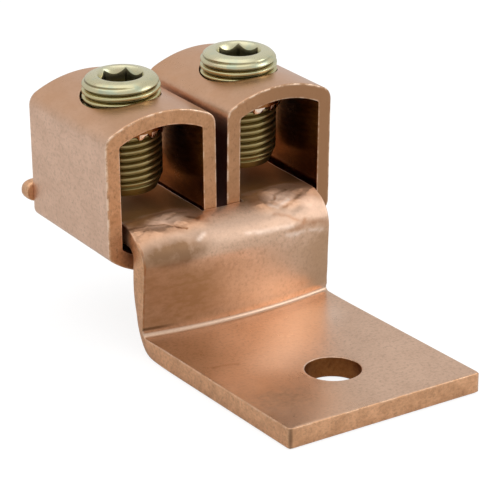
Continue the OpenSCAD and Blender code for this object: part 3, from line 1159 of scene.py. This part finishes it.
@dataclass
class Strap:
    """The forked, Z-bent strap with its bolt hole and upset finger ends."""

    half: float = 22.2
    thick: float = 4.1
    front: float = -17.1
    patch_back: float = 17.1
    corner_r: float = 0.4
    hole_r: float = 5.5
    burr_r: float = 5.36
    riser: float = 31.0
    crease_r: float = 0.9
    heel_r: float = 6.5
    brow_r: float = 7.5
    throat_r: float = 2.0
    slot_half: float = 4.75
    slot_from: float = 38.32
    finger_to: float = 32.6
    crease_bow: float = 2.2
    brow_bow: float = 0.9
    skew: float = 0.3
    bulge: float = 0.3
    pinch: float = 1.3
    swell: float = 0.12
    lip: float = 0.22
    bevel_mm: float = 0.22
    shelf: Shelf = field(default_factory=Shelf)

    RUN_ROWS: ClassVar[int] = 14
    BEND_ROWS: ClassVar[int] = 14
    RISER_ROWS: ClassVar[int] = 20
    BROW_ROWS: ClassVar[int] = 33
    SLOT_ROW: ClassVar[int] = RUN_ROWS + BEND_ROWS + RISER_ROWS + BROW_ROWS
    SHELF_ROWS: ClassVar[int] = 33
    THROUGH: ClassVar[np.ndarray] = np.linspace(0, 1, 7)

    def across(self) -> np.ndarray:
        """Positions of the columns across the width, with columns at the slot's sides."""
        side = np.append(np.linspace(self.slot_half, self.half - 0.7, 45), self.half)
        middle = np.linspace(-self.slot_half, self.slot_half, 25)
        return np.concatenate([-side[::-1], middle[1:-1], side])

    def profile(self) -> tuple[np.ndarray, np.ndarray]:
        """Side profile behind the hole's patch.

        Returns:
            Rows of (y, z) for the upper skin, and for the lower skin.
        """
        back = self.riser + self.thick
        heel_y = back - self.heel_r
        crease_y, crease_z = self.riser - self.crease_r, self.thick + self.crease_r
        brow_y, throat_y = self.riser + self.brow_r, back + self.throat_r
        brow_z = self.shelf.height(brow_y, self.brow_r)
        throat_z = self.shelf.height(throat_y, self.thick + self.throat_r)
        run, rise = steps(self.RUN_ROWS), steps(self.RISER_ROWS)
        bend = steps(self.BEND_ROWS) * math.pi / 2
        brow = steps(self.BROW_ROWS) * (math.pi / 2 - self.shelf.tilt)
        end_y = self.shelf.y + self.finger_to
        along = self.slot_from + np.linspace(0, 1, self.SHELF_ROWS) ** 1.4 * (end_y - self.slot_from)
        upper = [
            (self.patch_back + run * (crease_y - self.patch_back), self.thick),
            (crease_y + self.crease_r * np.sin(bend), crease_z - self.crease_r * np.cos(bend)),
            (self.riser, crease_z + rise * (brow_z - crease_z)),
            (brow_y - self.brow_r * np.cos(brow), brow_z + self.brow_r * np.sin(brow)),
            (along, self.shelf.height(along, 0.0)),
        ]
        lower = [
            (self.patch_back + run * (heel_y - self.patch_back), 0.0),
            (heel_y + self.heel_r * np.sin(bend), self.heel_r * (1 - np.cos(bend))),
            (back, self.heel_r + rise * (throat_z - self.heel_r)),
            (throat_y - self.throat_r * np.cos(brow), throat_z + self.throat_r * np.sin(brow)),
            (along, self.shelf.height(along, self.thick)),
        ]
        return tuple(np.concatenate([pairs(y, z) for y, z in skin]) for skin in (upper, lower))

    def skins(self) -> tuple[np.ndarray, np.ndarray]:
        """Bends the profile over the width.

        Returns:
            The grids of the upper and the lower skin, front row first.
        """
        xs = self.across()
        share = xs[None] / self.half
        grids = []
        for spread, rows in zip((self.bulge, -self.pinch), self.profile()):
            y, z = rows[:, :1], rows[:, 1:]
            lift = np.clip((z - self.thick) / (self.shelf.z - self.thick), 0, 1)
            ahead = np.clip((y - self.patch_back) / (self.riser - self.patch_back), 0, 1) ** 1.5
            fade = np.clip(1 - (y - self.riser - 5.5) / 3.0, 0, 1)
            bow = (self.crease_bow + (self.brow_bow - self.crease_bow) * lift) * ahead * fade
            near = hump(y, self.riser + 2.0, 5.0) * hump(z, 5.0, 6.0)
            x = xs[None] + near * signed_power(share, 6) * spread
            y = y + bow * share**2 - self.skew * share * np.clip(lift * 4, 0, 1) * fade
            grids.append(np.stack(np.broadcast_arrays(x, y, z), -1))
        upper, lower = grids
        upper[..., 2] += self.stake_marks(upper)
        upper[..., 1] -= self.crease_lip(upper)
        return upper, lower

    def stake_marks(self, grid: np.ndarray) -> np.ndarray:
        """Height of the dents that the stakes left in front of each collar.

        Args:
            grid: Points of the upper skin.

        Returns:
            The height to add at each point.
        """
        x, y = grid[..., 0], grid[..., 1]
        top = np.clip((grid[..., 2] - 20.0) / 3.5, 0, 1)
        crushed = hump(np.abs(x), 14.0, 8.0, 4) * np.clip((41.5 - y) / 2.5, 0, 1)
        waves = noise_at(x * 0.28, y * 0.22, 3.7)
        facets = 0.7 * noise_at(x * 0.24, y * 0.36, 5.3) + 0.3 * noise_at(x * 0.55, y * 0.7, 1.9)
        ends = 0.8 * hump(x, -self.half, 2.2) + 0.3 * hump(x, self.half, 1.8)
        droop = ends * hump(y, 35.0, 3.0)
        upset = 0.5 * hump(np.abs(x), 13.0, 5.0, 4) * hump(y, 40.2 + 0.5 * waves, 1.5)
        beside_slot = np.clip(1 - (np.abs(x) - self.slot_half) / 0.45, 0, 1)
        slot_lip = 0.16 * beside_slot * np.clip(y - self.slot_from, 0, 1)
        dented = np.where(x < 0, 0.45, 0.6) * facets * crushed
        return (0.14 * waves + dented + upset - droop) * top + slot_lip

    def crease_lip(self, grid: np.ndarray) -> np.ndarray:
        """How far the lip that the press left above the crease stands forward, more to the right."""
        share = np.clip(0.55 + grid[..., 0] / self.half * 0.5, 0.15, 1.0)
        return self.lip * share * hump(grid[..., 2], 5.9, 0.5) * (grid[..., 1] > self.riser - 0.5)

    def build(self, finishes: Finishes) -> bpy.types.Object:
        """Builds and dresses the strap.

        Args:
            finishes: The object's materials.

        Returns:
            The finished object.
        """
        shell = Shell()
        upper, lower = self.skins()
        xs = self.across()
        left, right = (int(np.argmin(np.abs(xs - side.value * self.slot_half))) for side in Side)
        row = self.SLOT_ROW
        for skin in (upper, lower):
            shell.patch(skin[: row + 1])
            shell.patch(skin[row:, : left + 1])
            shell.patch(skin[row:, right:])
        for column, outward in ((0, -1), (len(xs) - 1, 1)):
            wall = lerp_rows(upper[:, column], lower[:, column], self.THROUGH)
            wall[..., 0] += outward * self.swelling()
            shell.patch(wall, StrapSlot.EDGE)
        cuts = [(slice(row, None), column) for column in (left, right)]
        cuts.append((row, slice(left, right + 1)))
        cuts += [(-1, part) for part in (slice(0, left + 1), slice(right, None))]
        for cut in cuts:
            shell.patch(lerp_rows(upper[cut], lower[cut], self.THROUGH), StrapSlot.EDGE)
        self.add_tang(shell, xs)
        for side in Side:
            self.add_head(shell, side)
        piece = Piece("strap_body", "lug", "strap", "strap", self.bevel_mm, sharper={StrapSlot.BORE: 0.6})
        return piece.finish(shell, [finishes.strap, finishes.edge_cut, finishes.edge_cut, finishes.bored])

    def swelling(self) -> np.ndarray:
        """How far the rows of a side wall stand out; it is slightly swollen at its middle."""
        return self.swell * np.sin(math.pi * self.THROUGH)[:, None]

    def add_tang(self, shell: Shell, xs: np.ndarray) -> None:
        """Adds the front of the tang round the bolt hole.

        Args:
            shell: The strap's shell.
            xs: Columns of the rear border.
        """
        ys = np.linspace(self.patch_back, self.front, 49)
        columns = np.linspace(-self.half, self.half, 61)
        border = border_loop(
            (xs[::-1], self.patch_back), (-self.half, ys), (columns, self.front), (self.half, ys[::-1])
        )
        for sign in (-1, 1):
            centre = np.array([sign * (self.half - self.corner_r), self.front + self.corner_r])
            away = border - centre
            inside = (away[:, 0] * sign > 0) & (away[:, 1] < 0)
            length = np.linalg.norm(away[inside], axis=1)[:, None]
            border[inside] = centre + away[inside] / length * self.corner_r
        flat = ring_rows((0.0, 0.0), np.full(len(border), self.hole_r), border, graded(0.08, 17))
        top, low = on_height(flat, self.thick), on_height(flat, 0.0)
        shell.patch(top, StrapSlot.SKIN, True)
        shell.patch(low, StrapSlot.SKIN, True)
        low[0, :, :2] *= self.burr_r / self.hole_r
        shell.patch(lerp_rows(top[0], low[0], self.THROUGH), StrapSlot.BORE, True)
        rim = slice(len(xs) - 1, None)
        outer_top, outer_low = (np.vstack([skin[-1, rim], skin[-1, :1]]) for skin in (top, low))
        wall = lerp_rows(outer_top, outer_low, self.THROUGH)
        outward = np.sign(wall[..., 0]) * (np.abs(wall[..., 0]) > self.half - 0.01)
        wall[..., 0] += self.swelling() * outward
        shell.patch(wall, StrapSlot.EDGE)

    def add_head(self, shell: Shell, side: Side) -> None:
        """Adds the upset end of one finger to the strap's shell."""
        world = self.shelf.to_world(FingerHead(side).grid())
        shell.patch(world, StrapSlot.HEAD, True)
        for row in (world[0], world[-1]):
            shell.fan(row, row.mean(0), StrapSlot.HEAD)


@dataclass
class Collar:
    """One closed collar with an arched top, a rounded belly and a drawn, tapped hole."""

    side: Side
    wall: float = 3.15
    height: float = 33.4
    length: float = 30.4
    width: float = 25.4
    arch_r: float = 25.0
    arch_corner: float = 3.0
    belly_r: float = 19.0
    belly_corner: float = 2.0
    window_corner: float = 0.7
    crest: float = 23.24
    bore_r: float = 7.99
    liner_r: float = 8.35
    rim_r: float = 9.05
    rim_depth: float = 4.0
    gape: float = 0.3
    gape_deg: float = 225.0
    sink_depth: float = 1.9
    bevel_mm: float = 0.26
    columns: int = 28
    rows: int = 40
    liner_columns: int = 96
    teeth: int = 18

    ACROSS: ClassVar[np.ndarray] = np.linspace(0, 1, 5)

    def arc(self, inset: float) -> tuple[float, float, float]:
        """Radius and centre height of the arch, and the half-width of its round part, at an inset."""
        radius = self.arch_r - inset
        corner = self.window_corner if inset else self.arch_corner
        half = self.width / 2 - inset
        return radius, self.crest - self.arch_r, radius * (half - corner) / (radius - corner)

    def band(self, inset: float) -> np.ndarray:
        """Outline from the right end of the arch, round the belly, to its left end.

        Args:
            inset: Distance inside the collar's outside.

        Returns:
            Points (x, z).
        """
        top_corner = self.window_corner if inset else self.arch_corner
        low_corner = self.window_corner if inset else self.belly_corner
        half = self.width / 2 - inset
        top_r, top_z, _ = self.arc(inset)
        belly_z = self.crest - self.height + self.belly_r
        low_r = self.belly_r - inset
        top_drop = math.sqrt((top_r - top_corner) ** 2 - (half - top_corner) ** 2)
        low_drop = math.sqrt((low_r - low_corner) ** 2 - (half - low_corner) ** 2)
        top_c, low_c = (half - top_corner, top_z + top_drop), (half - low_corner, belly_z - low_drop)
        start = math.atan2(top_drop, half - top_corner)
        end = math.atan2(low_drop, half - low_corner)
        angle = math.asin((low_c[0] + low_corner * math.cos(end)) / low_r)
        right = np.vstack([
            arc_points(top_c, top_corner, np.linspace(start, 0, 9)),
            pairs(half, np.linspace(top_c[1], low_c[1], 25)[1:-1]),
            arc_points(low_c, low_corner, -np.linspace(0, end, 7)),
            arc_points((0.0, belly_z), low_r, np.linspace(angle, 0, 13)[1:] - math.pi / 2),
        ])
        return np.vstack([right, (right * (-1, 1))[-2::-1]])

    def roof(self, inset: float) -> np.ndarray:
        """The arch round the screw hole, which gapes to one side in the outer skin.

        Args:
            inset: Distance inside the collar's outside.

        Returns:
            A grid of rows round the hole.
        """
        radius, centre_z, half = self.arc(inset)
        xs = np.linspace(-half, half, self.columns + 1)
        ys = np.linspace(0, self.length, self.rows + 1)
        border = border_loop((xs, 0.0), (half, ys), (xs[::-1], self.length), (-half, ys[::-1]))
        rims = np.full(len(border), self.liner_r)
        if not inset:
            away = border - (0, self.length / 2)
            angle = np.arctan2(away[:, 1], away[:, 0])
            facing = np.clip(np.cos(angle - math.radians(self.gape_deg)), 0, 1)
            rims = self.bore_r + 0.05 + self.gape * facing**2
        flat = ring_rows((0.0, self.length / 2), rims, border, graded(0.2, 10))
        return on_height(flat, centre_z + np.sqrt(radius**2 - flat[..., :1] ** 2))

    def build(self, finishes: Finishes, thread: ThreadTree) -> bpy.types.Object:
        """Builds and dresses the collar.

        Args:
            finishes: The object's materials.
            thread: The thread's tree.

        Returns:
            The finished object.
        """
        shell = Shell()
        ys = np.linspace(0, self.length, self.rows + 1)
        outer, inner = self.band(0.0), self.band(self.wall)
        for outline, slot in ((outer, CollarSlot.SKIN), (inner, CollarSlot.INSIDE)):
            shell.patch(np.array([stand(outline, y) for y in ys]), slot)
        roof, ceiling = self.roof(0.0), self.roof(self.wall)
        shell.patch(roof, CollarSlot.SKIN, True)
        shell.patch(ceiling, CollarSlot.INSIDE, True)
        shell.patch(lerp_rows(roof[0], ceiling[0], self.ACROSS), CollarSlot.INSIDE, True)
        for y, first in ((0.0, 0), (self.length, self.columns + self.rows)):
            shell.patch(lerp_rows(stand(outer, y), stand(inner, y), self.ACROSS), CollarSlot.CUT)
            part = slice(first, first + self.columns + 1)
            shell.patch(lerp_rows(roof[-1, part], ceiling[-1, part], self.ACROSS), CollarSlot.CUT)
        shell.join(self.liner(finishes, thread))
        shell.move(SEATS[self.side].to_world)
        node = f"{self.side.word}_collar"
        sharper = {CollarSlot.INSIDE: 0.6, CollarSlot.TORN: 0.0}
        piece = Piece(f"{node}_body", "lug", "collar", node, self.bevel_mm, sharper=sharper)
        return piece.finish(shell, [finishes.tumbled, finishes.sheared, finishes.inner, finishes.torn])

    def liner(self, finishes: Finishes, thread: ThreadTree) -> Shell:
        """The drawn rim with its thread and torn lower edge.

        Args:
            finishes: The object's materials.
            thread: The thread's tree.

        Returns:
            The rim, in the collar's frame.
        """
        low = self.crest - self.wall - self.rim_depth
        high = self.crest - self.sink_depth - 0.2
        rim = Shell()
        thread.add_to(rim, CollarSlot.TORN, low, finishes.torn, {
            "Pitch": THREAD_PITCH, "Radius": self.bore_r, "Depth": -0.55, "Length": high - low,
            "Low Radius": self.bore_r, "Low Slope": 1.5, "High Radius": self.bore_r, "High Reach": 1.0,
            "High Height": 0.6, "Blend": 0.0, "Columns": self.liner_columns, "Steps": 8,
        })
        turn = np.linspace(0, math.tau, self.liner_columns, endpoint=False)
        inward = self.bore_r + (self.rim_r - self.bore_r) * 0.35
        grid = np.array([circle_row(turn, radius, z) for radius, z in (
            (self.bore_r, low), (inward, low - 0.12), (self.rim_r - 0.25, low),
            (self.rim_r, low + 0.12), (self.rim_r, high - 0.3), (self.bore_r, high),
        )])
        torn = noise_at(3.2 * np.cos(turn), 3.2 * np.sin(turn), self.side.value * 5.0)
        teeth = np.clip(np.sin(turn * self.teeth + torn * 3) * 1.8 + 0.2, 0, 1)
        grid[1:3, :, 2] -= (0.15 * torn + teeth * 0.75)[None]
        grid[3, :, 2] += 0.3
        rim.patch(grid[3:], CollarSlot.INSIDE, True)
        for column, tooth in enumerate(teeth):
            pair = grid[:4, [column, (column + 1) % self.liner_columns]]
            rim.patch(pair, CollarSlot.TORN if tooth > 0.5 else CollarSlot.INSIDE)
        rim.move(self.to_middle)
        return rim

    def to_middle(self, points: np.ndarray) -> np.ndarray:
        """Takes points round the hole's axis to the collar's frame."""
        return points + np.array([0, self.length / 2, 0])


@dataclass
class SetScrew:
    """One set screw: rolled thread, tapered lead, sloped shoulder and hex socket."""

    side: Side
    tip_height: float
    turn_deg: float
    radius: float = 7.9375
    length: float = 23.6
    depth: float = 0.92
    tip_r: float = 6.75
    tip_slope: float = 0.42
    socket_deg: float = 0.0
    shift: Point = (0.0, 0.0)
    axis_y: float = 15.2
    crown_r: float = 5.4
    crown_h: float = 2.6
    mouth_r: float = 4.68
    mouth_h: float = 1.3
    hex_half: float = 3.97
    hex_depth: float = 9.0
    drill_depth: float = 1.2
    sharp_mm: float = 0.35
    columns: int = 96

    def build(self, finishes: Finishes, thread: ThreadTree) -> bpy.types.Object:
        """Builds and dresses the screw.

        Args:
            finishes: The object's materials.
            thread: The thread's tree.

        Returns:
            The finished object.
        """
        shell = Shell()
        thread.add_to(shell, ScrewSlot.THREAD, 0.0, finishes.zinc, {
            "Pitch": THREAD_PITCH, "Radius": self.radius, "Depth": self.depth, "Length": self.length,
            "Low Radius": self.tip_r, "Low Slope": self.tip_slope, "High Radius": self.crown_r,
            "High Reach": self.radius - self.crown_r + 0.1, "High Height": self.crown_h, "Blend": 0.2,
            "Columns": self.columns, "Steps": 12,
        })
        turn = np.linspace(0, math.tau, self.columns, endpoint=False)
        self.add_socket(shell, turn)
        tip_rows = ((self.tip_r, 0.0), (self.tip_r - 0.35, 0.0), (self.tip_r * 0.55, 0.12), (0.6, 0.3))
        tip = np.array([circle_row(turn, radius, z) for radius, z in tip_rows])
        shell.patch(tip, ScrewSlot.THREAD, True)
        shell.fan(tip[-1], np.array([0, 0, tip_rows[-1][1]]), ScrewSlot.THREAD)
        shell.move(self.to_world)
        body, node = f"{self.side.word}_screw", f"{self.side.word}_set_screw"
        piece = Piece(f"{body}_body", body, "screw", node, sharp_mm=self.sharp_mm)
        return piece.finish(shell, [finishes.zinc, finishes.socket])

    def to_world(self, points: np.ndarray) -> np.ndarray:
        """Takes points of the screw's own frame to the object's frame."""
        seat = SEATS[self.side]
        place = np.array([self.shift[0], self.axis_y + self.shift[1], self.tip_height + seat.drop])
        return seat.to_world(turned(points, self.turn_deg, "Z") + place)

    def add_socket(self, shell: Shell, turn: np.ndarray) -> None:
        """Adds the crown's flat ring and the hex socket with its drilled floor.

        Args:
            shell: The screw's shell.
            turn: Angle of each column.
        """
        sixth = math.pi / 6
        flat = self.hex_half / np.cos((turn - math.radians(self.socket_deg) + sixth) % (2 * sixth) - sixth)
        drop = (self.mouth_r - flat) / (self.mouth_r - self.hex_half) * self.mouth_h
        rows = [
            (self.crown_r, 0.0), (self.crown_r - 0.15, 0.05), (self.mouth_r + 0.12, 0.05),
            (self.mouth_r, -0.02), (flat + 0.03, -drop), (flat, -drop - 0.08),
        ]
        crown = len(rows)
        rows += [(flat, -z) for z in (2.0, 4.0, 6.5, self.hex_depth)]
        drilled = np.minimum(flat, 3.9)
        rows += [(drilled * s, -self.hex_depth - (1 - s) * self.drill_depth) for s in (0.85, 0.5)]
        grid = np.array([circle_row(turn, radius, self.length + z) for radius, z in rows])
        shell.patch(grid[:crown], ScrewSlot.THREAD, True)
        shell.patch(grid[crown - 1 :], ScrewSlot.SOCKET, True)
        floor_z = self.length - self.hex_depth - self.drill_depth
        shell.fan(grid[-1], np.array([0, 0, floor_z]), ScrewSlot.SOCKET)


@dataclass(frozen=True)
class Softbox:
    """A square light that faces a point; lengths are in metres and its power is in watts."""

    name: str
    place: Colour
    target: Colour
    size: float
    power: float

    def build(self) -> None:
        """Adds the light."""
        data = bpy.data.lights.new(self.name, "AREA")
        data.size, data.energy = self.size, self.power
        made = put(self.name, data)
        made.location = self.place
        made.rotation_euler = (Vector(self.target) - Vector(self.place)).to_track_quat("-Z", "Y").to_euler()


@dataclass(frozen=True)
class FloorLayer:
    """One layer of the floor: the white sheet that the camera sees, or the one below that lights the part."""

    name: str
    level: float
    albedo: float
    glow: float
    seen: bool
    reach: float = 4.0

    def build(self) -> None:
        """Adds the layer; the camera sees one, and all other rays see the other."""
        near, far = -self.reach, self.reach
        mesh = bpy.data.meshes.new(self.name)
        corners = [(x, y, self.level) for x, y in ((near, near), (far, near), (far, far), (near, far))]
        mesh.from_pydata(corners, [], [(0, 1, 2, 3)])
        made = put(self.name, mesh)
        made.visible_camera = self.seen
        made.visible_diffuse = made.visible_glossy = made.visible_shadow = not self.seen
        material = bpy.data.materials.new(self.name)
        material.use_nodes = True
        graph = Graph(material.node_tree)
        sockets = {"Base Color": (self.albedo, self.albedo, self.albedo, 1), "Roughness": 0.9}
        sockets |= {"Specular IOR Level": 0.0, "Emission Color": (1, 1, 1, 1), "Emission Strength": self.glow}
        shader = graph.node("ShaderNodeBsdfPrincipled", None, sockets)
        graph.node("ShaderNodeOutputMaterial", None, {"Surface": shader})
        mesh.materials.append(material)


@dataclass
class Studio:
    """Pale floor, soft light and the camera, which aims at a point in millimetres."""

    aim: Colour = (0.0, 28.4, 19.365)
    yaw_deg: float = -34.113
    pitch_deg: float = 21.343
    distance: float = 444.28
    lens: float = 160.6
    sensor: float = 36.0
    sky: float = 0.78

    FLOORS: ClassVar[tuple[FloorLayer, ...]] = (
        FloorLayer("pale_floor", -0.0002, 0.25, 0.82, True),
        FloorLayer("bounce_floor", -0.0005, 0.76, 0.0, False),
    )
    LIGHTS: ClassVar[tuple[Softbox, ...]] = (
        Softbox("top_softbox", (-0.15, 0.05, 0.9), (0.0, 0.02, 0.0), 1.1, 2.6),
        Softbox("key_softbox", (0.60, -0.47, 0.40), (0.0, 0.02, 0.02), 0.42, 1.55),
    )

    def build(self) -> None:
        """Builds the floor, the lights and the camera."""
        for part in (*self.FLOORS, *self.LIGHTS):
            part.build()
        world = bpy.data.worlds.new("studio")
        bpy.context.scene.world = world
        world.use_nodes = True
        graph = Graph(world.node_tree)
        glow = graph.node("ShaderNodeBackground", None, {"Color": (1, 1, 1, 1), "Strength": self.sky})
        graph.node("ShaderNodeOutputWorld", None, {"Surface": glow})
        bpy.context.scene.view_settings.view_transform = "Standard"
        self.camera()

    def camera(self) -> None:
        """Adds the camera at the photograph's viewing angle."""
        yaw, pitch = math.radians(self.yaw_deg), math.radians(self.pitch_deg)
        back = Vector((math.sin(yaw) * math.cos(pitch), -math.cos(yaw) * math.cos(pitch), math.sin(pitch)))
        data = bpy.data.cameras.new("camera")
        data.lens, data.sensor_width = self.lens, self.sensor
        data.clip_start, data.clip_end = 0.01, 20.0
        made = put("camera", data)
        made.location = (Vector(self.aim) + back * self.distance) * MM
        made.rotation_euler = (-back).to_track_quat("-Z", "Y").to_euler()
        bpy.context.scene.camera = made


def main() -> None:
    """Builds the object piece by piece."""
    logging.basicConfig(level=logging.INFO, format="%(name)s: %(message)s")
    Studio().build()
    finishes = Finishes()
    thread = ThreadTree()
    Strap().build(finishes)
    Collar(Side.LEFT, bore_r=8.09, gape=0.36, gape_deg=228.0).build(finishes, thread)
    Collar(Side.RIGHT, gape=0.34, gape_deg=228.0).build(finishes, thread)
    SetScrew(Side.LEFT, 2.5, 312.0, socket_deg=4.0, shift=(0.12, -0.06)).build(finishes, thread)
    SetScrew(Side.RIGHT, 2.95, 7.0, socket_deg=19.75).build(finishes, thread)


if __name__ == "__main__":
    main()
